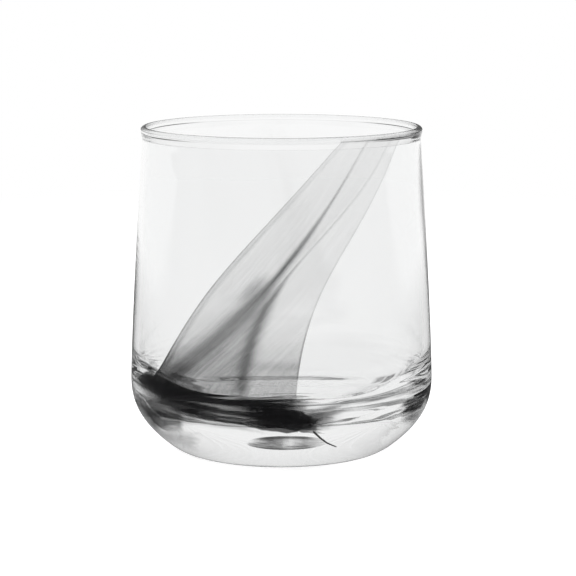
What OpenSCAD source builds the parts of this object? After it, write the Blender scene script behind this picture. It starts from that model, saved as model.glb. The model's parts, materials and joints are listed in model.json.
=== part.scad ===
// Short thick-based tumbler of clear glass with a ribbon of grey smoke sealed in its front wall.
// It is made the way a blown glass is gathered: a thin inner gather lines the bowl, smoke glass is
// trailed over it, and a thick outer gather closes over the smoke. A round bead finishes the lip.
// Origin: middle of the foot on the table. +Z is up. The smoke faces -Y. Lengths are millimetres.

/* [Tumbler] */
// Height of the glass from the table to the top of the lip
glass_h = 90; // [75:0.5:110]
// Largest radius, where the heel meets the wall
body_r = 42.25; // [38:0.25:50]
// Height at which the glass is widest
heel_h = 20; // [15:0.5:28]
// Radius of the edge of the flat foot
foot_r = 29.5; // [24:0.5:34]
// How much smaller the outside radius is at the lip than at its widest
lip_taper = 3.87; // [1:0.01:6]
// Roundness of the heel, from a straight flare to a full corner
heel_curve = 2.4; // [1.6:0.1:3]
// Bow of the leaning wall, from a straight cone to a steady curve
wall_curve = 1.25; // [1:0.05:2]

/* [Foot] */
// Width of the flat ring that the glass stands on
foot_ring_w = 4.5; // [2:0.5:10]
// Depth of the shallow hollow inside that ring
punt_depth = 1; // [0.4:0.1:3]

/* [Bowl] */
// Thickness of the solid glass under the bowl
base_t = 13; // [9:0.5:18]
// Radius of the rounded corner between the floor and the wall of the bowl
bowl_corner_r = 15.5; // [8:0.5:20]
// Thickness of the wall just above that corner
wall_foot_t = 1.9; // [1.6:0.05:3]
// Thickness of the wall at the lip
wall_lip_t = 1.2; // [1.15:0.05:2]
// Thickness of the inner gather that lines the bowl
lining_t = 0.6; // [0.45:0.05:0.65]

/* [Lip] */
// How far the middle of the round bead stands outside the middle of the wall
bead_out = 0.3; // [0.1:0.05:0.6]
// How far the bead laps over the inner face of the wall
bead_lap = 0.1; // [0.05:0.05:0.4]

/* [Smoke] */
// Thickness of a single veil of smoke
veil_t = 0.2; // [0.1:0.02:0.3]
// Thickness of the doubled veil between the two folds
double_veil_t = 0.28; // [0.15:0.02:0.4]
// Thickness of the dark threads where the ribbon folds or ends
thread_t = 0.36; // [0.2:0.02:0.44]
// Width of the thread along each outer edge of the ribbon
edge_thread_w = 0.8; // [0.4:0.1:1.4]
// Width of the thread along each fold
fold_thread_w = 1.2; // [0.5:0.1:1.6]
// How far the smoke rises into the lip bead
lip_smoke_h = 0.6; // [0.3:0.05:0.8]

/* [Dark pool] */
// Thickness of the dark glass pooled under the heel of the bowl
pool_t = 0.9; // [0.4:0.05:1.4]
// Thickness of the tail that runs out of the pool
tail_t = 0.6; // [0.3:0.05:1]
// Thickness of the loose wisps at either side of the heel and of the curl in the base
wisp_t = 0.3; // [0.15:0.05:0.5]
// How far the pool climbs above the floor of the bowl, where the ribbon runs into it
pool_rise = 9; // [6:0.5:12]
// How far the tail climbs above the floor of the bowl
tail_rise = 3; // [1.5:0.5:5]
// How far the wisps climb above the floor of the bowl
wisp_rise = 6; // [3:0.5:9]
// How far the clear glass that the pool curls round reaches past the flat bowl floor
pool_clear = 2.4; // [0:0.2:4]
// How far the middle of that clear glass lies behind the middle of the foot
pool_back = 5; // [0:0.5:8]
// How far past the flat bowl floor the tail and the wisps begin
tail_clear = 4.4; // [2:0.2:6]
// How far the left wisp creeps in under the flat floor of the bowl
wisp_creep = 9; // [0:0.5:14]

/* [Loose smoke] */
// Length, from left to right, of the curl of smoke that stands in the clear base
curl_l = 18.8; // [8:0.2:24]
// Height of that curl
curl_h = 2.4; // [1.2:0.2:3.6]
// How far its middle lies to the right of the middle of the foot
curl_right = 1.2; // [-4:0.2:4]
// How far it stands in from the edge of the clear glass that the pool curls round
curl_in = 2; // [1.6:0.1:6]
// How far its middle lies below the floor of the bowl
curl_drop = 2.5; // [2.4:0.1:4]
// Width of the thread of dark glass that drips from the tail into the thick base
drip_w = 0.6; // [0.3:0.05:1.2]
// How much thicker that thread is at each bend
drip_swell = 0.1; // [0.05:0.05:0.4]

/* [Hidden] */

// Steps along each curved stretch of an outline
heel_steps = 10;
wall_steps = 8;
corner_steps = 8;
punt_steps = 5;
edge_steps = 12;
// How far a cut runs past the face that it opens
overrun = 0.5;
// Facets of a full turn
$fn = 120;

// Radius of the hollow under the foot, inside the ring that the glass stands on
punt_r = foot_r - foot_ring_w;

// Compass of each piece of pooled smoke, in degrees from the front, positive to the right
pool_from = -78;
pool_to = 8;
tail_to = 32;
left_wisp_from = -101;
right_wisp_from = 58;
right_wisp_to = 98;

// The bead is as wide as the wall, its own offset and its lap, and is cut flat where it seats
bead_r = wall_lip_t / 2 + bead_out + bead_lap;
bead_z = glass_h - bead_r;
lip_z = bead_z - sqrt(pow(bead_r, 2) - pow(bead_r - bead_lap, 2));
bead_ring_r = body_r - lip_taper - wall_lip_t / 2 + bead_out;

// The corner of the bowl is one arc, tangent to the floor, whose top meets the wall
corner_z = base_t + bowl_corner_r;
corner_ring_r = wall_in(corner_z) - bowl_corner_r;

// The pool, its tail and the wisps hang from the floor of the bowl and keep clear of its middle
pool_top_z = base_t + pool_rise;
tail_top_z = base_t + tail_rise;
wisp_top_z = base_t + wisp_rise;
pool_hollow_r = corner_ring_r + pool_clear;
tail_hollow_r = corner_ring_r + tail_clear;
creep_hollow_r = corner_ring_r - wisp_creep;
drip_bend_w = drip_w + drip_swell;
curl_y = pool_back + curl_in - pool_hollow_r;

// Each edge of the ribbon is a smooth curve drawn from the front with four control points.
// The first number is a share of body_r, the second a share of the way from pool to lip.
left_edge_shares = [[0.36, 1], [-0.36, 0.49], [-0.46, 0.47], [-0.82, 0]];
fold_edge_shares = [[0.53, 1], [-0.10, 0.29], [-0.70, 0.10], [-0.71, 0]];
branch_edge_shares = [[0.66, 1], [0.37, 0.61], [-0.22, 0.51], [-0.27, 0]];
right_edge_shares = [[0.74, 1], [0.47, 0.56], [0.15, 0.49], [0.09, 0]];

// The drip sinks from the tail into the base. The first two numbers are shares of body_r, to the
// right and to the back, and the third is a share of base_t above the table.
drip_shares = [[0.175, -0.65, 0.97], [0.22, -0.663, 0.85], [0.265, -0.66, 0.74], [0.32, -0.58, 0.66]];

clear_glass = [0.88, 0.91, 0.92, 0.45];
pale_smoke = [0.62, 0.63, 0.64, 0.8];
mid_smoke = [0.45, 0.46, 0.47, 0.9];
dark_smoke = [0.2, 0.2, 0.21];
black_smoke = [0.08, 0.08, 0.09];

// Outside radius of the heel, which rises from the foot edge to the widest point
function heel_r(z) = foot_r + (body_r - foot_r) * (1 - pow(1 - z / heel_h, heel_curve));

// Outside radius of the wall, which leans in from the widest point to the lip
function wall_out(z) = body_r - lip_taper * pow((z - heel_h) / (lip_z - heel_h), wall_curve);

// Thickness of the wall, which thins steadily from the corner of the bowl to the lip
function wall_t(z) = wall_foot_t + (wall_lip_t - wall_foot_t) * (z - corner_z) / (lip_z - corner_z);

// Radius of the inside of the bowl above its corner
function wall_in(z) = wall_out(z) - wall_t(z);

// A number that runs in even steps from one value to another
function between(from, to, step, steps) = from + (to - from) * step / steps;

// A point of a smooth curve through the first and last of four control points
function curve_point(p, t) =
    pow(1 - t, 3) * p[0] + 3 * pow(1 - t, 2) * t * p[1] + 3 * (1 - t) * pow(t, 2) * p[2] + pow(t, 3) * p[3];

// The same curve at its real size, moved sideways, and carried straight up past the lip
function edge_points(shares, shift) = [
    [body_r * shares[0][0] + shift, lip_z + overrun],
    for (i = [0 : edge_steps])
        let (share = curve_point(shares, i / edge_steps))
        [body_r * share[0] + shift, pool_top_z + (lip_z - pool_top_z) * share[1]],
];

function reversed(points) = [for (i = [len(points) - 1 : -1 : 0]) points[i]];

// Half outline of the whole glass without its bowl, up to the seat of the bead
function body_points() = [
    for (i = [0 : punt_steps])
        let (r = between(0, punt_r, i, punt_steps))
        [r, punt_depth * (1 - pow(r / punt_r, 2))],
    for (i = [0 : heel_steps])
        let (z = between(0, heel_h, i, heel_steps))
        [heel_r(z), z],
    for (i = [1 : wall_steps])
        let (z = between(heel_h, lip_z, i, wall_steps))
        [wall_out(z), z],
    [0, lip_z],
];

// Half outline of the bowl, grown outwards into the glass, with its top a given way past the seat
function bowl_points(grow, past) = [
    [0, base_t - grow],
    for (i = [0 : corner_steps])
        let (a = between(-90, 0, i, corner_steps), r = bowl_corner_r + grow)
        [corner_ring_r + r * cos(a), corner_z + r * sin(a)],
    for (i = [1 : wall_steps])
        let (z = between(corner_z, lip_z, i, wall_steps))
        [wall_in(z) + grow, z],
    if (past > 0) [wall_in(lip_z) + grow, lip_z + past],
    [0, lip_z + past],
];

module bowl(grow, past = 0) {
    rotate_extrude() polygon(bowl_points(grow, past));
}

// A straight cut from the front whose outline lies between two edges of the ribbon
module ribbon_cut(left, left_shift, right, right_shift) {
    rotate([90, 0, 0])
        linear_extrude(height = body_r + overrun)
            polygon(concat(edge_points(left, left_shift), reversed(edge_points(right, right_shift))));
}

// A cut up from the table between two compass directions, clear of a round hollow
module heel_cut(from, to, top_z, hollow_r, hollow_back = 0) {
    far_r = 2 * body_r;
    middle = (from + to) / 2;
    linear_extrude(height = top_z)
        difference() {
            polygon([
                [0, 0],
                for (a = [from, middle, to]) [far_r * sin(a), -far_r * cos(a)],
            ]);
            translate([0, hollow_back])
                circle(r = hollow_r);
        }
}

// The place of each piece of smoke, seen from the front or from above
module left_edge_place() {
    ribbon_cut(left_edge_shares, 0, left_edge_shares, edge_thread_w);
}

module left_veil_place() {
    ribbon_cut(left_edge_shares, edge_thread_w, fold_edge_shares, -fold_thread_w / 2);
}

module fold_place() {
    ribbon_cut(fold_edge_shares, -fold_thread_w / 2, fold_edge_shares, fold_thread_w / 2);
}

module folded_veil_place() {
    ribbon_cut(fold_edge_shares, fold_thread_w / 2, branch_edge_shares, 0);
}

module branch_place() {
    ribbon_cut(branch_edge_shares, 0, branch_edge_shares, fold_thread_w);
}

module right_veil_place() {
    ribbon_cut(branch_edge_shares, fold_thread_w, right_edge_shares, -edge_thread_w);
}

module right_edge_place() {
    ribbon_cut(right_edge_shares, -edge_thread_w, right_edge_shares, 0);
}

module pool_place() {
    heel_cut(pool_from, pool_to, pool_top_z, pool_hollow_r, pool_back);
}

module tail_place() {
    heel_cut(pool_to, tail_to, tail_top_z, tail_hollow_r);
}

module left_wisp_place() {
    heel_cut(left_wisp_from, pool_from, wisp_top_z, creep_hollow_r);
}

module right_wisp_place() {
    heel_cut(right_wisp_from, right_wisp_to, wisp_top_z, tail_hollow_r);
}

// The curl is a thin upright leaf with round ends, wholly inside the thick base
module curl_space() {
    translate([curl_right, curl_y, base_t - curl_drop])
        rotate([90, 0, 0])
            linear_extrude(height = wisp_t)
                scale([curl_l / curl_h, 1])
                    circle(d = curl_h);
}

// One straight stretch of the drip
module drip_run(from, to) {
    run = to - from;
    translate(from)
        rotate([0, acos(run[2] / norm(run)), atan2(run[1], run[0])])
            cylinder(d = drip_w, h = norm(run));
}

// The drip starts on the outer face of the tail and swells a little at each bend
module drip_space() {
    points = [for (share = drip_shares) [body_r * share[0], body_r * share[1], base_t * share[2]]];
    difference() {
        union() {
            for (i = [1 : len(points) - 1]) drip_run(points[i - 1], points[i]);
            for (point = points) translate(point) sphere(d = drip_bend_w);
        }
        bowl(lining_t + tail_t, overrun);
    }
}

// Smoke fills its place between the lining and its own depth into the casing
module smoke(thickness) {
    difference() {
        intersection() {
            bowl(lining_t + thickness);
            children();
        }
        bowl(lining_t, overrun);
    }
}

// The pocket that the casing leaves for a piece of smoke
module smoke_pocket(thickness) {
    intersection() {
        bowl(lining_t + thickness, overrun);
        children();
    }
}

module outer_casing() {
    color(clear_glass)
        difference() {
            rotate_extrude() polygon(body_points());
            bowl(lining_t, overrun);
            smoke_pocket(thread_t) left_edge_place();
            smoke_pocket(veil_t) left_veil_place();
            smoke_pocket(thread_t) fold_place();
            smoke_pocket(double_veil_t) folded_veil_place();
            smoke_pocket(thread_t) branch_place();
            smoke_pocket(veil_t) right_veil_place();
            smoke_pocket(thread_t) right_edge_place();
            smoke_pocket(pool_t) pool_place();
            smoke_pocket(tail_t) tail_place();
            smoke_pocket(wisp_t) left_wisp_place();
            smoke_pocket(wisp_t) right_wisp_place();
            drip_space();
            curl_space();
        }
}

module inner_lining() {
    color(clear_glass)
        difference() {
            bowl(lining_t);
            bowl(0, overrun);
        }
}

// The space inside the bead from the ribbon's left edge round to the right end of the lip
module lip_smoke_space(below) {
    left_x = body_r * left_edge_shares[0][0];
    seam_r = wall_in(lip_z) + lining_t;
    intersection() {
        rotate_extrude()
            translate([seam_r, lip_z - below])
                square([veil_t, lip_smoke_h + below]);
        translate([left_x, -body_r, lip_z - below])
            cube([body_r - left_x, body_r, lip_smoke_h + below]);
    }
}

module rim_bead() {
    color(clear_glass)
        difference() {
            rotate_extrude()
                intersection() {
                    translate([bead_ring_r, bead_z])
                        circle(r = bead_r);
                    translate([bead_ring_r - bead_r, lip_z])
                        square([2 * bead_r, 2 * bead_r]);
                }
            lip_smoke_space(overrun);
        }
}

module lip_smoke() {
    color(mid_smoke) lip_smoke_space(0);
}

module left_veil() {
    color(pale_smoke) smoke(veil_t) left_veil_place();
}

module folded_veil() {
    color(mid_smoke) smoke(double_veil_t) folded_veil_place();
}

module right_veil() {
    color(pale_smoke) smoke(veil_t) right_veil_place();
}

module left_edge_thread() {
    color(mid_smoke) smoke(thread_t) left_edge_place();
}

module fold_thread() {
    color(dark_smoke) smoke(thread_t) fold_place();
}

module branch_thread() {
    color(dark_smoke) smoke(thread_t) branch_place();
}

module right_edge_thread() {
    color(mid_smoke) smoke(thread_t) right_edge_place();
}

module dark_pool() {
    color(black_smoke) smoke(pool_t) pool_place();
}

module pool_tail() {
    color(black_smoke) smoke(tail_t) tail_place();
}

module tail_drip() {
    color(black_smoke) drip_space();
}

module left_wisp() {
    color(mid_smoke) smoke(wisp_t) left_wisp_place();
}

module right_wisp() {
    color(dark_smoke) smoke(wisp_t) right_wisp_place();
}

module base_curl() {
    color(mid_smoke) curl_space();
}

outer_casing();
inner_lining();
rim_bead();
left_veil();
folded_veil();
right_veil();
left_edge_thread();
fold_thread();
branch_thread();
right_edge_thread();
lip_smoke();
dark_pool();
pool_tail();
tail_drip();
left_wisp();
right_wisp();
base_curl();
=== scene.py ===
# %% [markdown]
# # A tumbler with a ribbon of smoke sealed in its wall
# This notebook dresses a imported model of a short, thick-based drinking glass. The imported model
# brings the right sizes. Here each piece gets a finer mesh and a finish that light can pass
# through. The first cell loads the imported model and keeps its box, which is printed at the end.

import json
import math

import bmesh
import bpy
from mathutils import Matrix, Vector, noise

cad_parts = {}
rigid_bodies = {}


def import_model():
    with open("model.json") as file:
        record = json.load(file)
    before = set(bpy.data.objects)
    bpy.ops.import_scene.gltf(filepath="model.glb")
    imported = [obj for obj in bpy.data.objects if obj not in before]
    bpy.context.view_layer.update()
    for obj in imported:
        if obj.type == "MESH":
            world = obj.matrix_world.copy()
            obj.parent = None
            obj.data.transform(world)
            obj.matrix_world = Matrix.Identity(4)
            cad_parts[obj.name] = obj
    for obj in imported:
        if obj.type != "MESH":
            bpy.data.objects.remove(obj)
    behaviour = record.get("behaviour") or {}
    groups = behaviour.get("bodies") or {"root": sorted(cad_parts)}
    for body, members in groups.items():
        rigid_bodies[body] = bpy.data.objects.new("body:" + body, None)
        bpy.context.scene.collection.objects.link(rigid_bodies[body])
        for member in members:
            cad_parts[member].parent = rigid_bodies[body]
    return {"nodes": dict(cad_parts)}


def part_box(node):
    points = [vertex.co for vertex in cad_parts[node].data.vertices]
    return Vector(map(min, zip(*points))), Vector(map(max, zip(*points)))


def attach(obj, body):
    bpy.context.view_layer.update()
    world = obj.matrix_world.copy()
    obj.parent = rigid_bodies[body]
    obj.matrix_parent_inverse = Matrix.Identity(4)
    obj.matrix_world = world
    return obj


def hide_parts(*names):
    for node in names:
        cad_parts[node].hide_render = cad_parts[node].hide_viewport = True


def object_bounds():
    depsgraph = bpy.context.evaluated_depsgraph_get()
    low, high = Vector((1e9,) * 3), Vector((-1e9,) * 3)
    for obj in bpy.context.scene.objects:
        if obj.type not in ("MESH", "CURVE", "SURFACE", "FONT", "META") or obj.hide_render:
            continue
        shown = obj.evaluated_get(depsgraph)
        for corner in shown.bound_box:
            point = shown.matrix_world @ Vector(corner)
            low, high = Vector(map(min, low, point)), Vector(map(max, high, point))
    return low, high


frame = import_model()
cad_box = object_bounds()
print("nodes:", sorted(frame["nodes"]))

# %% [markdown]
# ## Sizes
# Blender works in metres, and glass is easier to describe in millimetres, so every length below
# is a number times `mm`. The height, the widest radius, the end of the wall and the top of the
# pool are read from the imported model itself. The others are the same driving sizes that the
# construction uses.

# %% Driving sizes
mm = 0.001
glass_h = cad_box[1].z
body_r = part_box("outer_casing")[1].x
heel_h = 20 * mm
foot_r = 29.5 * mm
foot_ring_w = 4.5 * mm
punt_depth = 1.0 * mm
lip_taper = 3.87 * mm
heel_curve = 2.4
wall_curve = 1.25
base_t = 13 * mm
bowl_corner_r = 15.5 * mm
wall_foot_t = 1.9 * mm
wall_lip_t = 1.2 * mm
lining_t = 0.6 * mm
bead_r = 1.0 * mm
lip_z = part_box("rim_bead")[0].z
pool_top_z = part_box("dark_pool")[1].z
corner_z = base_t + bowl_corner_r
print(f"height {glass_h / mm:.1f} mm, widest radius {body_r / mm:.2f} mm, wall ends at {lip_z / mm:.2f} mm")

# %% [markdown]
# ## Camera
# The glass is looked at through a long lens from 60 cm away and a little above. A camera could be
# placed by eye, but here its height, aim and lens were fitted to the outline of the real glass.
# The sensor is 36 mm wide and the picture is 576 pixels square, so a focal length in pixels
# becomes a lens length by one ratio. The glass stands a few pixels left of the middle of the
# picture, which a small sideways shift gives.

# %% Camera
picture_px = 576
focal_px = 2172
left_of_middle_px = 6.5
sensor_w_mm = 36
camera_back = 600 * mm
camera_up = 142.9 * mm
aim_up = 44.42 * mm
nearest_seen = 10 * mm

camera_data = bpy.data.cameras.new("camera")
camera = bpy.data.objects.new("camera", camera_data)
bpy.context.scene.collection.objects.link(camera)
bpy.context.scene.camera = camera
camera.location = (0, -camera_back, camera_up)
camera.rotation_euler = (Vector((0, 0, aim_up)) - camera.location).to_track_quat("-Z", "Y").to_euler()
camera_data.sensor_width = sensor_w_mm
camera_data.lens = focal_px / picture_px * camera_data.sensor_width
camera_data.shift_x = left_of_middle_px / picture_px
camera_data.clip_start = nearest_seen
print(f"lens {camera_data.lens:.1f} mm")

# %% [markdown]
# ## Node helpers
# Materials and the world are small graphs of nodes. They could be drawn by hand in the node
# editor, but written as code they can be read and repeated. The first helper adds a node and sets
# or links its inputs. The others, one for each common step, keep the later cells short.

# %% Node helpers
def add_node(tree, kind, inputs=(), **settings):
    node = tree.nodes.new(kind)
    for name, value in settings.items():
        setattr(node, name, value)
    for name, value in dict(inputs).items():
        if isinstance(value, bpy.types.NodeSocket):
            tree.links.new(value, node.inputs[name])
        else:
            node.inputs[name].default_value = value
    return node


def maths(tree, operation, *values, **settings):
    """One step of arithmetic on numbers or sockets."""
    node = add_node(tree, "ShaderNodeMath", enumerate(values), operation=operation, **settings)
    return node.outputs[0]


def eased(tree, value, low, high, first=0.0, second=1.0):
    """Changes smoothly from first to second while value goes from low to high."""
    node = add_node(
        tree, "ShaderNodeMapRange",
        {"Value": value, "From Min": low, "From Max": high, "To Min": first, "To Max": second},
        interpolation_type="SMOOTHSTEP",
    )
    return node.outputs["Result"]


def mix_colours(tree, share, first, second, **settings):
    """The colour first where share is 0, and second where it is 1. Sockets 6, 7 and 2 hold colours."""
    node = add_node(tree, "ShaderNodeMix", {0: share, 6: first, 7: second}, data_type="RGBA", **settings)
    return node.outputs[2]


def mix_shaders(tree, share, first, second):
    return add_node(tree, "ShaderNodeMixShader", {0: share, 1: first, 2: second}).outputs[0]


def grey_ramp(tree, place, stops):
    """A ramp of greys over place, from pairs of place and tone, both from 0 to 1."""
    ramp = add_node(tree, "ShaderNodeValToRGB", {"Fac": place})
    for at, _ in stops[1:-1]:
        ramp.color_ramp.elements.new(at)
    for element, (at, tone) in zip(ramp.color_ramp.elements, stops):
        element.position = at
        element.color = (tone, tone, tone, 1)
    return ramp.outputs["Color"]


def to_the_side(tree, place, side_from, side_full):
    """0 towards the front and the back, and 1 towards the left and the right of the glass."""
    axes = add_node(tree, "ShaderNodeSeparateXYZ", {0: place})
    level = add_node(tree, "ShaderNodeCombineXYZ", {"X": axes.outputs["X"], "Y": axes.outputs["Y"]})
    unit = add_node(tree, "ShaderNodeVectorMath", {0: level.outputs[0]}, operation="NORMALIZE")
    compass = add_node(tree, "ShaderNodeSeparateXYZ", {0: unit.outputs[0]})
    return eased(tree, maths(tree, "ABSOLUTE", compass.outputs["X"]), side_from, side_full)


def backdrop_share(tree, path, in_reflection):
    """How bright the backdrop is: 1 for the camera and through glass, less mirrored, 0 as a lamp."""
    direct = maths(tree, "MAXIMUM", path.outputs["Is Camera Ray"], path.outputs["Is Transmission Ray"])
    mirrored = maths(tree, "MULTIPLY", path.outputs["Is Glossy Ray"], in_reflection)
    return maths(tree, "MAXIMUM", direct, mirrored)


def empty_material(name):
    material = bpy.data.materials.new(name)
    material.use_nodes = True
    tree = material.node_tree
    tree.nodes.clear()
    output = tree.nodes.new("ShaderNodeOutputMaterial")
    return material, tree, output


# %% [markdown]
# ## The studio
# Clear glass has no colour of its own: it shows what stands round it. A photographer would set up
# a white sweep and grey cards. Modelled cards would also darken the floor, so here the world
# itself is painted: white low down, greyer towards the ceiling, and greyer from lower down to the
# left and the right. That draws the lip, the walls and the base as darker lines. Light Path tells
# the rays apart: the camera sees plain white, the glass sees the studio, and matt surfaces get an
# even light.

# %% World
ceiling_tones = [(-1.0, 1.0), (0.34, 1.0), (0.45, 0.98), (0.6, 0.92), (0.75, 0.6), (1.0, 0.35)]
side_tones = [(-1.0, 1.0), (0.1, 1.0), (0.28, 0.65), (0.42, 0.35), (0.65, 0.16), (1.0, 0.1)]
side_from, side_full = 0.5, 0.95
diffuse_light = 0.6
mirrored_light = 0.18
pure_white = (1, 1, 1, 1)

world = bpy.data.worlds.new("studio")
bpy.context.scene.world = world
world.use_nodes = True
tree = world.node_tree
tree.nodes.clear()
direction = add_node(tree, "ShaderNodeTexCoord").outputs["Generated"]
height = add_node(tree, "ShaderNodeSeparateXYZ", {0: direction}).outputs["Z"]
climb = add_node(tree, "ShaderNodeMapRange", {"Value": height, "From Min": -1, "From Max": 1})


def sky_ramp(tones):
    """A ramp over height, given as (height, tone) from -1 straight down to 1 straight up."""
    return grey_ramp(tree, climb.outputs["Result"], [((at + 1) / 2, tone) for at, tone in tones])


beside = to_the_side(tree, direction, side_from, side_full)
studio = mix_colours(tree, beside, sky_ramp(ceiling_tones), sky_ramp(side_tones))
path = add_node(tree, "ShaderNodeLightPath")
backdrop = backdrop_share(tree, path, mirrored_light)
sweep = add_node(tree, "ShaderNodeBackground", {"Color": studio, "Strength": backdrop})
white = add_node(tree, "ShaderNodeBackground", {"Color": pure_white, "Strength": 1.0})
soft = add_node(tree, "ShaderNodeBackground", {"Color": pure_white, "Strength": diffuse_light})
on_glass = maths(tree, "GREATER_THAN", backdrop, 0.0)
lit = mix_shaders(tree, on_glass, soft.outputs[0], sweep.outputs[0])
seen = mix_shaders(tree, path.outputs["Is Camera Ray"], lit, white.outputs[0])
add_node(tree, "ShaderNodeOutputWorld", {"Surface": seen})
print("darkest tone of the ceiling:", ceiling_tones[-1][1], "and of its sides:", side_tones[-1][1])

# %% [markdown]
# ## The floor
# The glass stands on a plain white sheet. One plain material would lose the shadow of the glass or
# show a grey horizon. So the sheet is matt near the glass, where it keeps the soft shadow of the
# glass and its smoke. Further out it glows at exactly white and meets the sweep with no horizon.
# The matt part also glows a little towards the camera and through the glass, since a real studio
# lights it more than the one lamp here, and it glows less in front of the glass. Seen through the
# glass nearly all of its light is that glow, so the shadow doesn't dull the base. Mirrored in the
# glass, the white part is bright behind the glass and dim in front of it.

# %% Floor
floor_half = 4.0
floor_gap = 0.05 * mm
matt_reach = 250 * mm
white_reach = 600 * mm
glow_to_camera = 0.7
glow_in_front, glow_through_glass = 0.75, 0.9
glow_front_y, glow_back_y = -70 * mm, -30 * mm
mirrored_behind = 1.0
mirror_front_y, mirror_back_y = 0.0, 200 * mm
paper_colour = (0.8, 0.8, 0.8, 1)
paper_in_glass = (0.12, 0.12, 0.12, 1)

bm = bmesh.new()
floor_corners = ((-1, -1), (1, -1), (1, 1), (-1, 1))
bm.faces.new([bm.verts.new((x * floor_half, y * floor_half, -floor_gap)) for x, y in floor_corners])
floor_mesh = bpy.data.meshes.new("floor")
bm.to_mesh(floor_mesh)
bm.free()
floor = bpy.data.objects.new("floor", floor_mesh)
bpy.context.scene.collection.objects.link(floor)

floor_paper, tree, output = empty_material("floor_paper")
place = add_node(tree, "ShaderNodeNewGeometry").outputs["Position"]
distance = add_node(tree, "ShaderNodeVectorMath", {0: place}, operation="LENGTH").outputs["Value"]
far = eased(tree, distance, matt_reach, white_reach)
back = add_node(tree, "ShaderNodeSeparateXYZ", {0: place}).outputs["Y"]
mirrored_share = eased(tree, back, mirror_front_y, mirror_back_y, mirrored_light, mirrored_behind)
glow_share = eased(tree, back, glow_front_y, glow_back_y, glow_in_front, glow_through_glass)
path = add_node(tree, "ShaderNodeLightPath")
through_ray = path.outputs["Is Transmission Ray"]
to_camera = maths(tree, "MULTIPLY", path.outputs["Is Camera Ray"], glow_to_camera)
to_glass = maths(tree, "MULTIPLY", through_ray, glow_share)
mirrored = maths(tree, "SUBTRACT", path.outputs["Is Glossy Ray"], through_ray, use_clamp=True)
tone = mix_colours(tree, mirrored, paper_colour, paper_in_glass)
tone = mix_colours(tree, through_ray, tone, paper_in_glass)
paper = add_node(
    tree, "ShaderNodeBsdfPrincipled",
    {"Base Color": tone, "Roughness": 1.0, "Specular IOR Level": 0.0,
     "Emission Color": pure_white, "Emission Strength": maths(tree, "ADD", to_glass, to_camera)},
)
backdrop = backdrop_share(tree, path, mirrored_share)
full = add_node(tree, "ShaderNodeEmission", {"Color": pure_white, "Strength": backdrop})
tree.links.new(mix_shaders(tree, far, paper.outputs[0], full.outputs[0]), output.inputs["Surface"])
floor_mesh.materials.append(floor_paper)
print(f"matt for {matt_reach / mm:.0f} mm round the glass, white beyond {white_reach / mm:.0f} mm")

# %% [markdown]
# ## One soft light
# A large square lamp high on the left gives the floor the soft shadow of the glass. A sun lamp
# would be simpler, but its shadow has a hard edge. The lamp is kept out of reflections and out of
# what shows through the glass, so that no square highlight lies on the wall.

# %% Lamp
lamp_place = Vector((-0.45, -0.25, 1.3))
lamp_side = 1.0
lamp_watts = 7.0
lamp_data = bpy.data.lights.new("soft_lamp", "AREA")
lamp_data.shape = "SQUARE"
lamp_data.size = lamp_side
lamp_data.energy = lamp_watts
lamp = bpy.data.objects.new("soft_lamp", lamp_data)
bpy.context.scene.collection.objects.link(lamp)
lamp.location = lamp_place
lamp.rotation_euler = (-lamp_place).to_track_quat("-Z", "Y").to_euler()
lamp.visible_glossy = False
lamp.visible_transmission = False
print(f"lamp {lamp_place.length:.2f} m from the glass")

# %% [markdown]
# ## The outline of the glass
# The real glass is round, so half of its outline, turned about the middle, gives the whole body.
# The outline could be drawn by hand and smoothed with a Subdivision modifier, but formulas keep
# each radius exact. They are the same as in the construction, with more steps. The two gathers
# and the lip bead are welded while hot, so light meets no surface between them: here they are one
# closed mesh, which starts under the foot, climbs the outside, rolls over the lip and comes down
# the inside to the floor of the bowl.

# %% Outline formulas
def heel_r(z):
    return foot_r + (body_r - foot_r) * (1 - (1 - z / heel_h) ** heel_curve)


def wall_out(z):
    return body_r - lip_taper * (max(z - heel_h, 0) / (lip_z - heel_h)) ** wall_curve


def wall_t(z):
    return wall_foot_t + (wall_lip_t - wall_foot_t) * (z - corner_z) / (lip_z - corner_z)


def wall_in(z):
    return wall_out(z) - wall_t(z)


corner_ring_r = wall_in(corner_z) - bowl_corner_r
bead_z = glass_h - bead_r
print(f"flat bowl floor radius {corner_ring_r / mm:.2f} mm, middle of the bead at {bead_z / mm:.2f} mm")

# %% Points of the outline
foot_edge_r = 1.4 * mm
edge_top = 1.3 * mm
bead_below = 2.6 * mm
bead_swell_out = 0.6 * mm
bead_swell_in = 0.15 * mm
punt_rings, foot_rings, foot_edge_rings = 12, 5, 10
heel_rings, heel_crowding, wall_rings_out = 44, 1.4, 44
bead_ease_rings, bead_rings = 14, 28
wall_rings_in, corner_rings, bowl_floor_rings = 60, 90, 24


def steps(first, last, count, start=0):
    """Evenly spaced numbers from first to last."""
    return [first + (last - first) * i / count for i in range(start, count + 1)]


def smooth(low, high, x):
    """Rises smoothly from 0 at low to 1 at high."""
    t = max(0.0, min(1.0, (x - low) / (high - low)))
    return t * t * (3 - 2 * t)


def foot_edge():
    """The small round edge between the flat foot and the flare of the heel."""
    points = []
    for t in steps(0, 1, foot_edge_rings, 1)[:-1]:
        a, b, c = (1 - t) ** 2, 2 * (1 - t) * t, t ** 2
        r = a * (foot_r - foot_edge_r) + b * foot_r + c * heel_r(edge_top)
        points.append((r, c * edge_top, 0))
    return points


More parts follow.
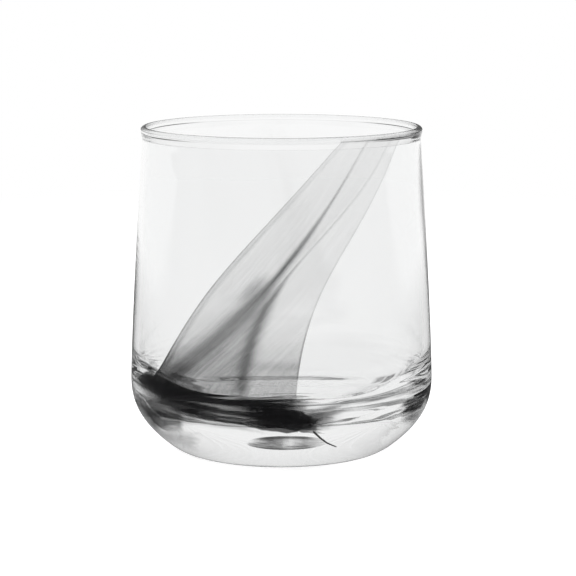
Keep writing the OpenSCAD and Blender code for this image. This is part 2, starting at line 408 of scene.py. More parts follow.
def bead_outline():
    """The fire-polished lip: a tight curve over the top that eases out into the wall on both sides."""
    points = []
    half = (wall_out(lip_z) - wall_in(lip_z)) / 2
    middle = (wall_out(lip_z) + wall_in(lip_z)) / 2
    for t in steps(0, 1, bead_ease_rings, 1)[:-1]:
        z = bead_z - bead_below * (1 - t)
        points.append((wall_out(z) + bead_swell_out * smooth(0, 1, t), z, 0))
    out, inner = half + bead_swell_out, half + bead_swell_in
    for angle in steps(0, 180, bead_rings):
        a = math.radians(angle)
        side = out if angle < 90 else inner
        points.append((middle + side * math.cos(a), bead_z + (glass_h - bead_z) * math.sin(a), angle / 180))
    for t in steps(1, 0, bead_ease_rings, 1)[:-1]:
        z = bead_z - bead_below * (1 - t)
        points.append((wall_in(z) - bead_swell_in * smooth(0, 1, t), z, 1))
    return points


def body_outline():
    """Points (radius, height, side) of half the outline. Side is 0 outside and 1 inside the bowl."""
    punt_r = foot_r - foot_ring_w
    heel_heights = [edge_top + (heel_h - edge_top) * t ** heel_crowding for t in steps(0, 1, heel_rings)]
    points = [(r, punt_depth * (1 - (r / punt_r) ** 2), 0) for r in steps(0, punt_r, punt_rings)]
    points += [(r, 0.0, 0) for r in steps(punt_r, foot_r - foot_edge_r, foot_rings, 1)]
    points += foot_edge()
    points += [(heel_r(z), z, 0) for z in heel_heights]
    points += [(wall_out(z), z, 0) for z in steps(heel_h, bead_z - bead_below, wall_rings_out, 1)]
    points += bead_outline()
    points += [(wall_in(z), z, 1) for z in steps(bead_z - bead_below, corner_z, wall_rings_in)]
    for angle in steps(0, -90, corner_rings, 1):
        a = math.radians(angle)
        r, z = corner_ring_r + bowl_corner_r * math.cos(a), corner_z + bowl_corner_r * math.sin(a)
        points.append((r, z, 1))
    points += [(r, base_t, 1) for r in steps(corner_ring_r, 0, bowl_floor_rings, 1)]
    return points


print("outline points:", len(body_outline()))

# %% [markdown]
# ## Hand-made unevenness
# Hot glass is never quite round. A few slow waves round and up the wall, and fine rings near the
# corner of the bowl, bend the light into the streaks that make glass look real. A bump map could
# fake them for reflections, but what shows through clear glass is bent by its true surface, so
# the points themselves are moved. Smooth noise on a circle gives waves that join up after a turn.

# %% Unevenness
wall_wave = 0.05 * mm
ring_wave = 0.05 * mm
fine_wave = 0.012 * mm
floor_wave = 0.12 * mm
floor_ripple = 0.06 * mm
foot_wave = 0.14 * mm
# For each wave: its bends round the glass, its bends for each millimetre up or out, and a seed
waves = {
    "slow": (2.2, 0.035, 2.0),
    "fine": (5.0, 0.9, 12.0),
    "ring_drift": (1.3, 0.05, 5.0),
    "ring_fade": (2.0, 0.10, 9.0),
    "floor": (1.5, 0.12, 3.0),
    "floor_ripple": (9.0, 0.3, 21.0),
    "outside": (1.8, 0.03, 7.0),
    "foot": (1.4, 0.12, 4.0),
}
ring_gap = 1.7 * mm
ring_drift = 2.2
ring_share = 0.5
rings_middle, rings_reach = 18 * mm, 7 * mm
floor_ease = 4 * mm
outside_share = 0.6
foot_ease, lip_ease = 3 * mm, 6 * mm
punt_ease = 5 * mm
just_over = 1.01
least_lift = 0.5


def wave(name, angle, z):
    """Smooth noise from -1 to 1 that closes on itself after a full turn."""
    around, up, seed = waves[name]
    x, y = math.cos(angle) * around + seed, math.sin(angle) * around - seed
    return noise.noise(Vector((x, y, z / mm * up)))


def inside_unevenness(angle, r, z):
    near_corner = math.exp(-(((z - rings_middle) / rings_reach) ** 2))
    drift = ring_drift * wave("ring_drift", angle, 0)
    rings = math.sin(2 * math.pi * (z / ring_gap + drift)) * (ring_share + wave("ring_fade", angle, z))
    out = wall_wave * wave("slow", angle, z)
    out += (ring_wave * rings + fine_wave * wave("fine", angle, z)) * near_corner
    low = max(0.0, 1 - (z - base_t) / floor_ease) * min(1.0, r / floor_ease)
    up = floor_wave * low * wave("floor", angle, r) + floor_ripple * low * wave("floor_ripple", angle, r)
    return out, up


def outside_unevenness(angle, r, z):
    grip = min(1.0, z / foot_ease) * min(1.0, max(0.0, (lip_z - z) / lip_ease))
    out = -wall_wave * outside_share * (1 + wave("outside", angle, z)) * grip
    if z >= punt_depth * just_over or r >= foot_r - foot_ring_w:
        return out, 0.0
    return out, max(foot_wave * wave("foot", angle, r) * min(1.0, r / punt_ease), -z * least_lift)


# %% [markdown]
# ## Turning the outline into a mesh
# Each outline point becomes a ring of vertices, and rings are joined by four-sided faces. A
# point on the middle line is a single vertex. A Screw modifier could turn the outline too, but
# here each vertex also gets its own small unevenness. Smooth shading hides the facets.

# %% Turned body
turn_steps = 288


def new_piece(name, vertices, faces):
    mesh = bpy.data.meshes.new(name)
    mesh.from_pydata(vertices, [], faces)
    mesh.validate()
    mesh.polygons.foreach_set("use_smooth", [True] * len(mesh.polygons))
    mesh.update()
    piece = bpy.data.objects.new(name, mesh)
    bpy.context.scene.collection.objects.link(piece)
    return piece


def turned_body(name, outline):
    vertices, rings = [], []
    for r, z, side in outline:
        count = turn_steps if r > 0 else 1
        unevenness = inside_unevenness if side >= 1 else outside_unevenness
        rings.append(range(len(vertices), len(vertices) + count))
        for k in range(count):
            angle = 2 * math.pi * k / count
            out, up = unevenness(angle, r, z)
            reach = r + out if r > 0 else 0.0
            vertices.append((reach * math.cos(angle), reach * math.sin(angle), z + up))
    faces = []
    for low, high in zip(rings, rings[1:]):
        for k in range(turn_steps):
            lower = [low[k % len(low)], low[(k + 1) % len(low)]]
            upper = [high[(k + 1) % len(high)], high[k % len(high)]]
            faces.append(list(dict.fromkeys(lower + upper)))
    return new_piece(name, vertices, faces)


glass_body = turned_body("glass_body", body_outline())
print("glass body:", len(glass_body.data.vertices), "vertices")

# %% [markdown]
# ## Clear glass
# The Principled shader with full transmission is clear glass, with the index of refraction of
# soda-lime glass. Its colour takes a little light at each surface, and a thin volume takes a little
# more where the glass is thick. The tight curves of a real lip look away from the light and show
# as fine dark lines. The smooth world here is too soft for that, so painted shade stands in: the
# tint has thin darker bands round the lip, stronger at the sides. For shadow rays only, the glass
# is a plain see-through surface: a ray tracer can't bend its shadow rays, and a thick glass would
# throw a black shadow.

# %% Clear glass
glass_tint = (0.95, 0.953, 0.953, 1)
shadow_tint = (0.93, 0.93, 0.93, 1)
depth_colour = (0.45, 0.47, 0.47, 1)
depth_density = 1.0
soda_lime_bend = 1.5
# Painted shade: the tint darkens in thin bands round the lip, more at the sides, in place of the dark lines
# that the lip's curves would show.
lip_shade_from = lip_z - 0.6 * mm
lip_shade_front = [(0, 1), (0.12, 1), (0.2, 0.9), (0.28, 1), (0.94, 1), (1, 0.35)]
lip_shade_side = [(0, 1), (0.12, 1), (0.17, 0.08), (0.23, 0.08), (0.28, 1), (0.94, 1), (1, 0.2)]
line_from, line_full = 0.55, 0.85

clear_glass, tree, output = empty_material("clear_glass")
spot = add_node(tree, "ShaderNodeTexCoord").outputs["Object"]
height = add_node(tree, "ShaderNodeSeparateXYZ", {0: spot}).outputs["Z"]
up_lip = add_node(
    tree, "ShaderNodeMapRange", {"Value": height, "From Min": lip_shade_from, "From Max": glass_h},
).outputs["Result"]
front_lip_shade = grey_ramp(tree, up_lip, lip_shade_front)
side_lip_shade = grey_ramp(tree, up_lip, lip_shade_side)
lines = mix_colours(tree, to_the_side(tree, spot, line_from, line_full), front_lip_shade, side_lip_shade)
glass = add_node(
    tree, "ShaderNodeBsdfPrincipled",
    {"Base Color": mix_colours(tree, 1.0, glass_tint, lines, blend_type="MULTIPLY"), "Roughness": 0.0,
     "IOR": soda_lime_bend, "Metallic": 0.0, "Transmission Weight": 1.0},
)
shadow_ray = add_node(tree, "ShaderNodeLightPath").outputs["Is Shadow Ray"]
see_through = add_node(tree, "ShaderNodeBsdfTransparent", {"Color": shadow_tint})
glass_or_shadow = mix_shaders(tree, shadow_ray, glass.outputs[0], see_through.outputs[0])
tree.links.new(glass_or_shadow, output.inputs["Surface"])
depth = add_node(tree, "ShaderNodeVolumeAbsorption", {"Color": depth_colour, "Density": depth_density})
tree.links.new(depth.outputs[0], output.inputs["Volume"])
glass_body.data.materials.append(clear_glass)
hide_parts("outer_casing", "inner_lining", "rim_bead")
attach(glass_body, "root")
print(f"lip lines over the top {(glass_h - lip_shade_from) / mm:.1f} mm")

# %% [markdown]
# ## Where the smoke lies
# The smoke is sealed between the two gathers, so all of it lies on one curved seam that follows
# the bowl at the thickness of the lining. A place on the seam needs two numbers: a compass angle,
# from the front and positive to the right, and a height on the wall or a way round the corner.
# The ribbon's edges could be cut with booleans, but they are drawn from the front instead, as
# smooth curves with four control points each, the same that the construction uses.

# %% The seam and the ribbon's edges
# Control points: sideways as shares of the widest radius, up as shares from the pool to the lip
edge_shares = {
    "left": [(0.36, 1), (-0.36, 0.49), (-0.46, 0.47), (-0.82, 0)],
    "fold": [(0.53, 1), (-0.10, 0.29), (-0.70, 0.10), (-0.71, 0)],
    "branch": [(0.66, 1), (0.37, 0.61), (-0.22, 0.51), (-0.27, 0)],
    "right": [(0.74, 1), (0.47, 0.56), (0.15, 0.49), (0.09, 0)],
}
edge_steps = 60
least_fall = 1e-9


def seam_r(z):
    """Radius of the seam at a height."""
    if z >= corner_z:
        return wall_in(z) + lining_t
    rise = min(corner_z - z, bowl_corner_r + lining_t)
    return corner_ring_r + math.sqrt((bowl_corner_r + lining_t) ** 2 - rise ** 2)


def curve_point(p, t):
    a, b, c, d = (1 - t) ** 3, 3 * (1 - t) ** 2 * t, 3 * (1 - t) * t ** 2, t ** 3
    return [a * p[0][i] + b * p[1][i] + c * p[2][i] + d * p[3][i] for i in (0, 1)]


def edge_heights(shares):
    """Heights of an edge and its sideways places there, from the lip down, in metres."""
    points = [curve_point(shares, t) for t in steps(0, 1, edge_steps)]
    return [(pool_top_z + (lip_z - pool_top_z) * v, body_r * x) for x, v in points]


edge_tables = {name: edge_heights(shares) for name, shares in edge_shares.items()}


def edge_x(name, z):
    """Sideways place of an edge at a height."""
    table = edge_tables[name]
    for (z_high, x_high), (z_low, x_low) in zip(table, table[1:]):
        if z >= z_low:
            return x_low + (x_high - x_low) * (z - z_low) / max(z_high - z_low, least_fall)
    return table[-1][1]


for name in edge_tables:
    at_lip, at_pool = edge_x(name, lip_z) / mm, edge_x(name, pool_top_z) / mm
    print(f"{name} edge: {at_lip:.1f} mm at the lip, {at_pool:.1f} mm at the pool")

# %% [markdown]
# ## Smoke as thin lenses of grey glass
# Each piece of smoke is a closed sheet: a front and a back face that meet along its edges, like
# a very flat lens. A volume shader would be closer to real smoke glass, but one volume inside
# another is slow and grainy, and these layers are thinner than a millimetre. So light is dimmed
# once at each face. How much it is dimmed is painted onto the mesh as one number per vertex, and
# the material adds the fine streaks.

# %% Sheet builder
rise_across, rise_along = 5, 10


def through(x, points):
    """A smooth curve through given points."""
    for (x0, y0), (x1, y1) in zip(points, points[1:]):
        if x <= x1:
            return y0 + (y1 - y0) * smooth(x0, x1, x)
    return points[-1][1]


def bunched(i, count):
    """Shares from 0 to 1 that lie closer together at both ends."""
    return 0.5 - 0.5 * math.cos(math.pi * i / count)


def paint_tone(piece, tones):
    tone = piece.data.attributes.new("smoke_tone", "FLOAT", "POINT")
    tone.data.foreach_set("value", tones)


def seam_sheet(name, rows, columns, place, tone_at, thickness):
    """A closed thin sheet. place(u, v) gives angle, radius, height, normal and flow (across, along)."""
    vertices, tones, flow = [], [], []
    front, back = [], []
    for j in range(rows + 1):
        for i in range(columns + 1):
            u, v = bunched(i, columns), j / rows
            angle, r, z, nr, nz, across, along = place(u, v)
            edge = i in (0, columns) or j in (0, rows)
            fullness = min(1.0, rise_across * math.sin(math.pi * u), rise_along * math.sin(math.pi * v))
            swell = 0.0 if edge else thickness / 2 * fullness
            index = []
            for sign in ((0,) if edge else (1, -1)):
                reach, up = r + sign * swell * nr, z + sign * swell * nz
                vertices.append((reach * math.sin(angle), -reach * math.cos(angle), up))
                tones.append(tone_at(u, v))
                flow.append((across / mm, along / mm, 0.0))
                index.append(len(vertices) - 1)
            front.append(index[0])
            back.append(index[-1])
    faces = []
    width = columns + 1
    for j in range(rows):
        for i in range(columns):
            k = j * width + i
            quad = [k, k + 1, k + 1 + width, k + width]
            faces.append([front[c] for c in quad])
            faces.append([back[c] for c in reversed(quad)])
    piece = new_piece(name, vertices, faces)
    paint_tone(piece, tones)
    run = piece.data.attributes.new("smoke_flow", "FLOAT_VECTOR", "POINT")
    run.data.foreach_set("vector", [c for point in flow for c in point])
    return piece


# %% [markdown]
# ## The smoke finish
# All smoke glass shows fine trails along its run, because it is drawn out while it is soft. An
# image of trails would have a fixed size and seams, so one node group makes them from noise that
# is long along the ribbon and short across it. The group turns the painted tone and this noise
# into the see-through share of a face. Two faces dim the light one after the other, so each
# takes the square root.

# %% Streak group
one_of_two_faces = 0.5
middle_of_noise = 0.5


def streak_group():
    group = bpy.data.node_groups.new("smoke_streaks", "ShaderNodeTree")
    for name, value in (("Strength", 0.3), ("Across", 1.5), ("Along", 0.06)):
        socket = group.interface.new_socket(name, in_out="INPUT", socket_type="NodeSocketFloat")
        socket.default_value = value
    group.interface.new_socket("Alpha", in_out="OUTPUT", socket_type="NodeSocketFloat")
    given = group.nodes.new("NodeGroupInput")
    result = group.nodes.new("NodeGroupOutput")
    tone = add_node(group, "ShaderNodeAttribute", attribute_name="smoke_tone")
    flow = add_node(group, "ShaderNodeAttribute", attribute_name="smoke_flow")
    across, along = given.outputs["Across"], given.outputs["Along"]
    stretch = add_node(group, "ShaderNodeCombineXYZ", {"X": across, "Y": along}).outputs[0]
    trail = add_node(
        group, "ShaderNodeVectorMath", {0: flow.outputs["Vector"], 1: stretch}, operation="MULTIPLY",
    )
    fine = add_node(
        group, "ShaderNodeTexNoise",
        {"Vector": trail.outputs[0], "Scale": 1.0, "Detail": 4.0, "Roughness": 0.6, "Distortion": 0.3},
    )
    centred = maths(group, "SUBTRACT", fine.outputs["Fac"], middle_of_noise)
    scaled = maths(group, "MULTIPLY", centred, given.outputs["Strength"])
    # The clear share is raised to a power, so that black stays black and clear stays clear
    power = maths(group, "ADD", scaled, one_of_two_faces)
    clear = maths(group, "SUBTRACT", 1.0, tone.outputs["Fac"], use_clamp=True)
    alpha = maths(group, "SUBTRACT", 1.0, maths(group, "POWER", clear, power), use_clamp=True)
    group.links.new(alpha, result.inputs["Alpha"])
    return group


smoke_streaks = streak_group()


def smoke_material(name, colour, strength, across, along):
    material, tree, output = empty_material(name)
    streaks = add_node(
        tree, "ShaderNodeGroup", {"Strength": strength, "Across": across, "Along": along},
        node_tree=smoke_streaks,
    )
    smoke = add_node(
        tree, "ShaderNodeBsdfPrincipled",
        {"Base Color": colour, "Roughness": 1.0, "Specular IOR Level": 0.0,
         "Alpha": streaks.outputs["Alpha"]},
    )
    tree.links.new(smoke.outputs[0], output.inputs["Surface"])
    return material


# Colour, strength of the trails, and how many trails for each millimetre across and along the run
smoke_looks = {
    "pale_smoke": ((0.02, 0.02, 0.021, 1), 0.45, 0.8, 0.06),
    "mid_smoke": ((0.015, 0.015, 0.016, 1), 0.45, 0.9, 0.06),
    "dark_smoke": ((0.006, 0.006, 0.007, 1), 0.7, 2.4, 0.04),
}
smoke_finish = {name: smoke_material(name, *look) for name, look in smoke_looks.items()}


def dress(piece, node, finish):
    piece.data.materials.append(smoke_finish[finish])
    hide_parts(node)
    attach(piece, "root")


print("smoke finishes:", sorted(smoke_finish))

# %% [markdown]
# ## How dark the ribbon is
# Seen from the front, four lines cross the ribbon from the lip to the pool, with a veil on each
# side. Each line and veil gets its darkness at a few listed shares of the way down. Each
# piece could have one plain tone, but real smoke glass thins out and gathers as it runs. One
# formula covers the whole ribbon, so neighbouring pieces meet without a step.

# %% Ribbon darkness
# Pairs of a share of the way down and the share of light that is taken there
line_shares = {
    "left": [(0, 0.24), (0.5, 0.48), (0.75, 0.6), (0.9, 0.95)],
    "fold": [(0, 0.24), (0.25, 0.56), (0.5, 0.82), (0.75, 0.74), (0.86, 0.78), (0.92, 0.9), (1, 0.93)],
    "branch": [(0, 0.16), (0.4, 0.3), (0.6, 0.68), (0.85, 0.84), (0.97, 0.82), (1, 0.65)],
    "right": [(0, 0.15), (0.6, 0.25), (0.88, 0.68), (0.96, 0.4), (1, 0.3)],
}
veil_shares = {
    "left": [
        (0, 0.08), (0.3, 0.15), (0.62, 0.2), (0.74, 0.26), (0.8, 0.3), (0.84, 0.42), (0.88, 0.58),
        (0.92, 0.76), (1, 0.9),
    ],
    "folded": [
        (0, 0.10), (0.45, 0.18), (0.6, 0.34), (0.78, 0.46), (0.85, 0.56), (0.92, 0.58), (0.97, 0.53),
        (1, 0.6),
    ],
    "right": [
        (0, 0.08), (0.65, 0.13), (0.76, 0.2), (0.84, 0.3), (0.88, 0.48), (0.92, 0.4), (0.97, 0.42),
        (1, 0.42),
    ],
}
# Half widths in millimetres, over the share of the way down
fold_half_w = [(0.2, 0.35), (0.45, 1.0), (0.52, 1.0), (0.72, 3.9)]
branch_half_w = [(0.5, 0.4), (0.7, 2.0)]
edge_line_in, edge_line_w = 0.15 * mm, 0.3 * mm
second_line_in, second_line_w, second_line_share = 1.2 * mm, 0.6 * mm, 0.5
branch_line_in = 0.8 * mm
feather_tone, feather_from, feather_to, feather_edge = 0.42, 0.53, 0.62, 0.04
feather_out, feather_w = 3.2 * mm, 2.4 * mm
darkest_ribbon = 0.985


def soft_line(distance, width):
    """1 on a line, fading to nothing on both sides."""
    return math.exp(-((distance / width) ** 2))


def soft_box(low, high, edge, x):
    """1 from low to high and 0 outside, with soft edges."""
    return smooth(low - edge, low + edge, x) * (1 - smooth(high - edge, high + edge, x))


def stacked(*tones):
    """The darkness of several layers one behind the other."""
    clear = 1.0
    for tone in tones:
        clear *= 1 - tone
    return 1 - clear


def over_veil(line_tone, veil_tone):
    """What a line adds where it lies on a veil."""
    return max(0.0, 1 - (1 - line_tone) / (1 - veil_tone))


def ribbon_dark(x, z):
    """The share of light that the ribbon takes, seen from the front."""
    down = max(0.0, min(1.0, (lip_z - z) / (lip_z - pool_top_z)))
    left, fold, branch, right = (edge_x(name, z) for name in edge_shares)
    fold_w = through(down, fold_half_w) * mm
    branch_w = through(down, branch_half_w) * mm
    feather = feather_tone * soft_box(feather_from, feather_to, feather_edge, down)
    veils = {name: through(down, shares) for name, shares in veil_shares.items()}
    past_fold = smooth(fold - fold_w, fold + fold_w, x)
    past_branch = smooth(branch - branch_w, branch + branch_w, x)
    veil = veils["left"] * (1 - past_fold) + veils["folded"] * past_fold
    veil = veil * (1 - past_branch) + veils["right"] * past_branch
    lines = {name: over_veil(through(down, shares), veil) for name, shares in line_shares.items()}
    return min(darkest_ribbon, stacked(
        veil,
        lines["left"] * soft_line(x - left - edge_line_in, edge_line_w),
        lines["left"] * second_line_share * soft_line(x - left - second_line_in, second_line_w),
        lines["fold"] * soft_line(x - fold, fold_w),
        feather * soft_line(x - fold + feather_out, feather_w),
        lines["branch"] * soft_line(x - branch - branch_line_in, branch_w),
        lines["right"] * soft_line(x - right + edge_line_in, edge_line_w),
    ))


middle_z = (lip_z + pool_top_z) / 2
print("darkness of the fold half-way down:", round(ribbon_dark(edge_x("fold", middle_z), middle_z), 2))

# %% [markdown]
# ## The ribbon
# The ribbon is seven pieces side by side: three veils and the four darker threads where it folds
# or ends. It could be one sheet, but a maker lays each of them on in turn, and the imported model
# keeps them apart. Each lies between two of the edges.

# %% Ribbon pieces
ribbon_rows = 130
veil_depth = 0.1 * mm
thread_w = {"left": 0.8 * mm, "fold": 1.2 * mm, "branch": 1.2 * mm, "right": 0.8 * mm}
thread_t, folded_t, veil_t = 0.36 * mm, 0.28 * mm, 0.20 * mm
# Node, left edge and its shift in thread widths, right edge and its shift, columns, thickness, finish
ribbon_pieces = [
    ("left_edge_thread", "left", 0, "left", 1, 8, thread_t, "mid_smoke"),
    ("left_veil", "left", 1, "fold", -0.5, 44, veil_t, "pale_smoke"),
    ("fold_thread", "fold", -0.5, "fold", 0.5, 10, thread_t, "dark_smoke"),
    ("folded_veil", "fold", 0.5, "branch", 0, 30, folded_t, "mid_smoke"),
    ("branch_thread", "branch", 0, "branch", 1, 10, thread_t, "dark_smoke"),
    ("right_veil", "branch", 1, "right", -1, 40, veil_t, "pale_smoke"),
    ("right_edge_thread", "right", -1, "right", 0, 8, thread_t, "mid_smoke"),
]


def ribbon_piece(node, left, left_shift, right, right_shift, columns, thickness, finish):
    def spot(u, v):
        z = lip_z + (pool_top_z - lip_z) * v
        x_left = edge_x(left, z) + left_shift * thread_w[left]
        x_right = edge_x(right, z) + right_shift * thread_w[right]
        return x_left + (x_right - x_left) * u, z

    def place(u, v):
        x, z = spot(u, v)
        r = seam_r(z) + veil_depth + (thickness / 2 - veil_depth) * math.sin(math.pi * u)
        return math.asin(max(-1, min(1, x / r))), r, z, 1.0, 0.0, x - edge_x("fold", z), lip_z - z

    def tone(u, v):
        return ribbon_dark(*spot(u, v))

    dress(seam_sheet(node + "_glass", ribbon_rows, columns, place, tone, thickness), node, finish)


for spec in ribbon_pieces:
    ribbon_piece(*spec)
print("ribbon pieces:", [spec[0] for spec in ribbon_pieces])

# %% [markdown]
# ## How dark the pool is
# Below the ribbon the smoke gathers round the corner of the bowl and under its floor. A place
# there has a compass angle and a turn, from 0 at the top of the corner to 90 under the floor,
# both in degrees. From top to bottom come a black band, a grey lens, a black arc that swells
# towards the right, and a soft smudge on the left. One black shape would look flat, so each of
# these layers has its own tone and its own soft edges, and light passes them one by one.

# %% Pool darkness
# Pairs of a compass angle and a turn, or a compass angle and the share of light that is taken
band_top = [
    (-78, 12), (-60, 12), (-54, 15), (-48, 18), (-42, 22), (-38, 26), (-32, 27), (-24, 28), (-19, 28),
    (-15, 26), (8, 26),
]
band_tone = [
    (-100, 0), (-80, 0.3), (-66, 0.9), (-54, 0.975), (-8, 0.97), (0, 0.88), (4, 0.66), (5.5, 0.3),
    (8, 0.12), (12, 0),
]
lens_tone = [
    (-78, 0), (-66, 0.5), (-54, 0.9), (-45, 0.9), (-38, 0.8), (-30, 0.66), (-24, 0.62), (-18, 0.72),
    (-12, 0.94), (0, 0.95), (4, 0.72), (7, 0.52), (9, 0.32), (11, 0.05), (13, 0),
]
gap_tone = [(-50, 0), (-42, 0.3), (-36, 0.5), (-26, 0.5), (-16, 0.45), (-11, 0.3), (-6, 0)]
gap_turn = [(-45, 41), (-39, 42), (-30, 44), (-25, 46), (-17, 48), (-10, 50)]
arc_top = [
    (-50, 44), (-42, 46), (-34, 47), (-30, 49), (-25, 51), (-20, 51), (-16, 53), (-12, 52), (-6, 47),
    (4, 47), (8, 49), (12, 57), (15, 65), (18, 75), (22, 82),
]
arc_bottom = [
    (-50, 51), (-41, 55), (-31, 57), (-21, 58), (-17, 60), (-13, 63), (-8, 68), (-3, 70), (4, 75), (8, 76),
    (12, 78), (18, 82), (22, 85),
]
arc_tone = [
    (-54, 0), (-47, 0.75), (-42, 0.985), (-10, 0.99), (8, 0.99), (12, 0.95), (15, 0.85), (18, 0.7),
    (21, 0.35), (24, 0),
]
halo_tone = [(-50, 0), (-36, 0.5), (-24, 0.62), (-18, 0.62), (-12, 0.3), (-6, 0.1), (8, 0.1), (12, 0)]
haze_tone = [(8, 0), (12, 0.75), (15, 0.7), (18, 0.6), (21, 0.42), (24, 0.08), (28, 0)]
smudge_tone = [
    (-101, 0), (-96, 0.25), (-86, 0.7), (-78, 0.8), (-72, 0.87), (-66, 0.82), (-60, 0.7), (-54, 0.8),
    (-42, 0.74), (-30, 0),
]
smudge_bottom = [(-84, 86), (-66, 86), (-58, 82), (-48, 66), (-30, 58)]
shoulder_top = [(-78, 23), (-70, 22), (-62, 13), (-53, 23)]
shoulder_tone = [(-74, 0), (-66, 0.6), (-60, 0.85), (-50, 0.85)]
prong_tone = [(6, 0), (9, 0.5), (12, 0.85), (16, 0.75), (21, 0.8), (24, 0.7), (27, 0.4), (31, 0)]
prong_turn = [(8, 48), (14, 47.5), (18, 46.5), (22, 45), (27, 42.5)]
# Turns in degrees at which the layers fade, and how softly
pool_turn = math.degrees(math.asin((corner_z - pool_top_z) / (bowl_corner_r + lining_t)))
ribbon_rise, ribbon_fade = (pool_turn - 1, pool_turn), (24, 30)
ribbon_angles = (-61.5, 5.6)
shoulder_depth, shoulder_fade = 4, (20, 26)
band_clear, band_above, band_below, band_fade = 3, 6, 3, (33, 37)
lens_turns, lens_edge = (34, 50), 2
gap_w, arc_edge, prong_w = 3.5, 1.6, 2.2
halo_depth, halo_edge = 9, 4
haze_turns, haze_edge = (50, 72), 4
smudge_top, smudge_edge = 56, 6
floor_fade = (80, 90)
darkest_pool = 0.998


def pool_dark(angle, turn):
    """The share of light that the pool takes at a compass angle and a turn."""
    top, bottom = through(angle, arc_top), through(angle, arc_bottom)
    r = corner_ring_r + (bowl_corner_r + lining_t) * math.cos(math.radians(pool_turn))
    under_ribbon = ribbon_angles[0] < angle < ribbon_angles[1]
    ribbon = ribbon_dark(r * math.sin(math.radians(angle)), pool_top_z) if under_ribbon else 0.0
    shoulder = through(angle, shoulder_top)
    band = max(through(angle, band_top), pool_turn - band_clear)
    gap = through(angle, gap_tone) * soft_line(turn - through(angle, gap_turn), gap_w)
    smudge = through(angle, smudge_tone) * (1 - smooth(*floor_fade, turn))
    return min(darkest_pool, stacked(
        ribbon * smooth(*ribbon_rise, turn) * (1 - smooth(*ribbon_fade, turn)),
        through(angle, shoulder_tone) * smooth(shoulder, shoulder + shoulder_depth, turn)
        * (1 - smooth(*shoulder_fade, turn)),
        through(angle, band_tone) * smooth(band - band_above, band + band_below, turn)
        * (1 - smooth(*band_fade, turn)),
        through(angle, lens_tone) * soft_box(*lens_turns, lens_edge, turn) * (1 - gap),
        through(angle, arc_tone) * soft_box(top, bottom, arc_edge, turn),
        through(angle, halo_tone) * soft_box(bottom, bottom + halo_depth, halo_edge, turn),
        through(angle, haze_tone) * soft_box(*haze_turns, haze_edge, turn),
        through(angle, prong_tone) * soft_line(turn - through(angle, prong_turn), prong_w),
        smudge * soft_box(smudge_top, through(angle, smudge_bottom), smudge_edge, turn),
    ))


print(f"the pool starts {pool_turn:.1f} degrees round the corner")

# %% [markdown]
# ## Pool, tail and wisps
# Four sheets lie on the rounded corner of the seam. The pool carries most of the black glass. Its
# tail runs off to the right, and a wisp lies at each side. A Shrinkwrap modifier could press flat
# sheets onto the bowl, but a compass angle and a turn place each point on the seam exactly. Past
# a turn of 90 a sheet runs on flat under the floor of the bowl. The left wisp does so, and it
# also widens a little there.

# %% Corner sheets
flare_turns = (86, 100)


def corner_piece(node, angles, turns, thickness, finish, tone, mesh, top=None, flare=0):
    """A sheet between two compass angles and two turns. mesh is its number of rows and columns."""
    def spot(u, v):
        start = turns[0]
        if top:
            start = min(start, through(angles[0] + (angles[1] - angles[0]) * u, top))
        turn = start + (turns[1] - start) * v
        return angles[0] + (angles[1] + flare * smooth(*flare_turns, turn) - angles[0]) * u, turn

    def place(u, v):
        angle, turn = (math.radians(d) for d in spot(u, v))
        reach = bowl_corner_r + lining_t + thickness / 2
        down = min(turn, math.pi / 2)
        across, along = math.cos(down), math.sin(down)
        r = corner_ring_r + reach * across - reach * (turn - down)
        return angle, r, corner_z - reach * along, across, -along, turn * reach, angle * r

    def dark(u, v):
        return tone(*spot(u, v))

    dress(seam_sheet(node + "_glass", *mesh, place, dark, thickness), node, finish)


# %% Wisps
# Lines of the right wisp: tone, compass angles, how softly they end, turn and half width
# The first of these lines is painted shade: a fine dark line that the curved glass itself shows, laid into
# the wisp as dark smoke.
shade_line_turn = [(56, 25.5), (61, 27), (68, 30), (77, 35), (88, 40)]
right_lines = [
    (0.85, (60, 80), 4, shade_line_turn, 2),
    (0.7, (60, 72), 3, [(60, 38)], 1),
    (0.6, (70, 84), 4, [(70, 45)], 1.2),
]
# Its two patches: tone, compass angles, how softly they end, turns and how softly they end
right_arc = (0.95, (63, 84), 3, (53, 63), 1.8)
right_foot = (0.72, (70, 88), 5, (65, 76), 4)
# Painted highlight: a thin clearer line across the dark arc, where the glass shows a gleam.
gleam_tone, gleam_turn, gleam_w = 0.35, 58, 0.9


def wisp_patch(angle, turn, tone, angles, angle_edge, turns, turn_edge):
    return tone * soft_box(*angles, angle_edge, angle) * soft_box(*turns, turn_edge, turn)


def right_wisp_dark(angle, turn):
    lines = [
        tone * soft_box(*angles, edge, angle) * soft_line(turn - through(angle, middle), width)
        for tone, angles, edge, middle, width in right_lines
    ]
    arc = wisp_patch(angle, turn, *right_arc) * (1 - gleam_tone * soft_line(turn - gleam_turn, gleam_w))
    return stacked(*lines, arc, wisp_patch(angle, turn, *right_foot))


# The share of light that the left wisp takes under the floor, over the turn
creep_tone = [(76, 0), (86, 0.45), (103, 0.42), (106, 0.25), (110, 0.36), (116, 0.22), (121, 0)]
left_from, left_to, left_flare = -101, -78, 7
creep_ripple = 3
creep_from_w, creep_to_w = 11, 9


def left_wisp_dark(angle, turn):
    edge = left_to + left_flare * smooth(*flare_turns, turn)
    creep = through(turn + creep_ripple * math.sin(angle), creep_tone)
    creep *= smooth(left_from, left_from + creep_from_w, angle)
    creep *= 1 - smooth(edge - creep_to_w, edge, angle)
    return stacked(pool_dark(angle, turn), creep)


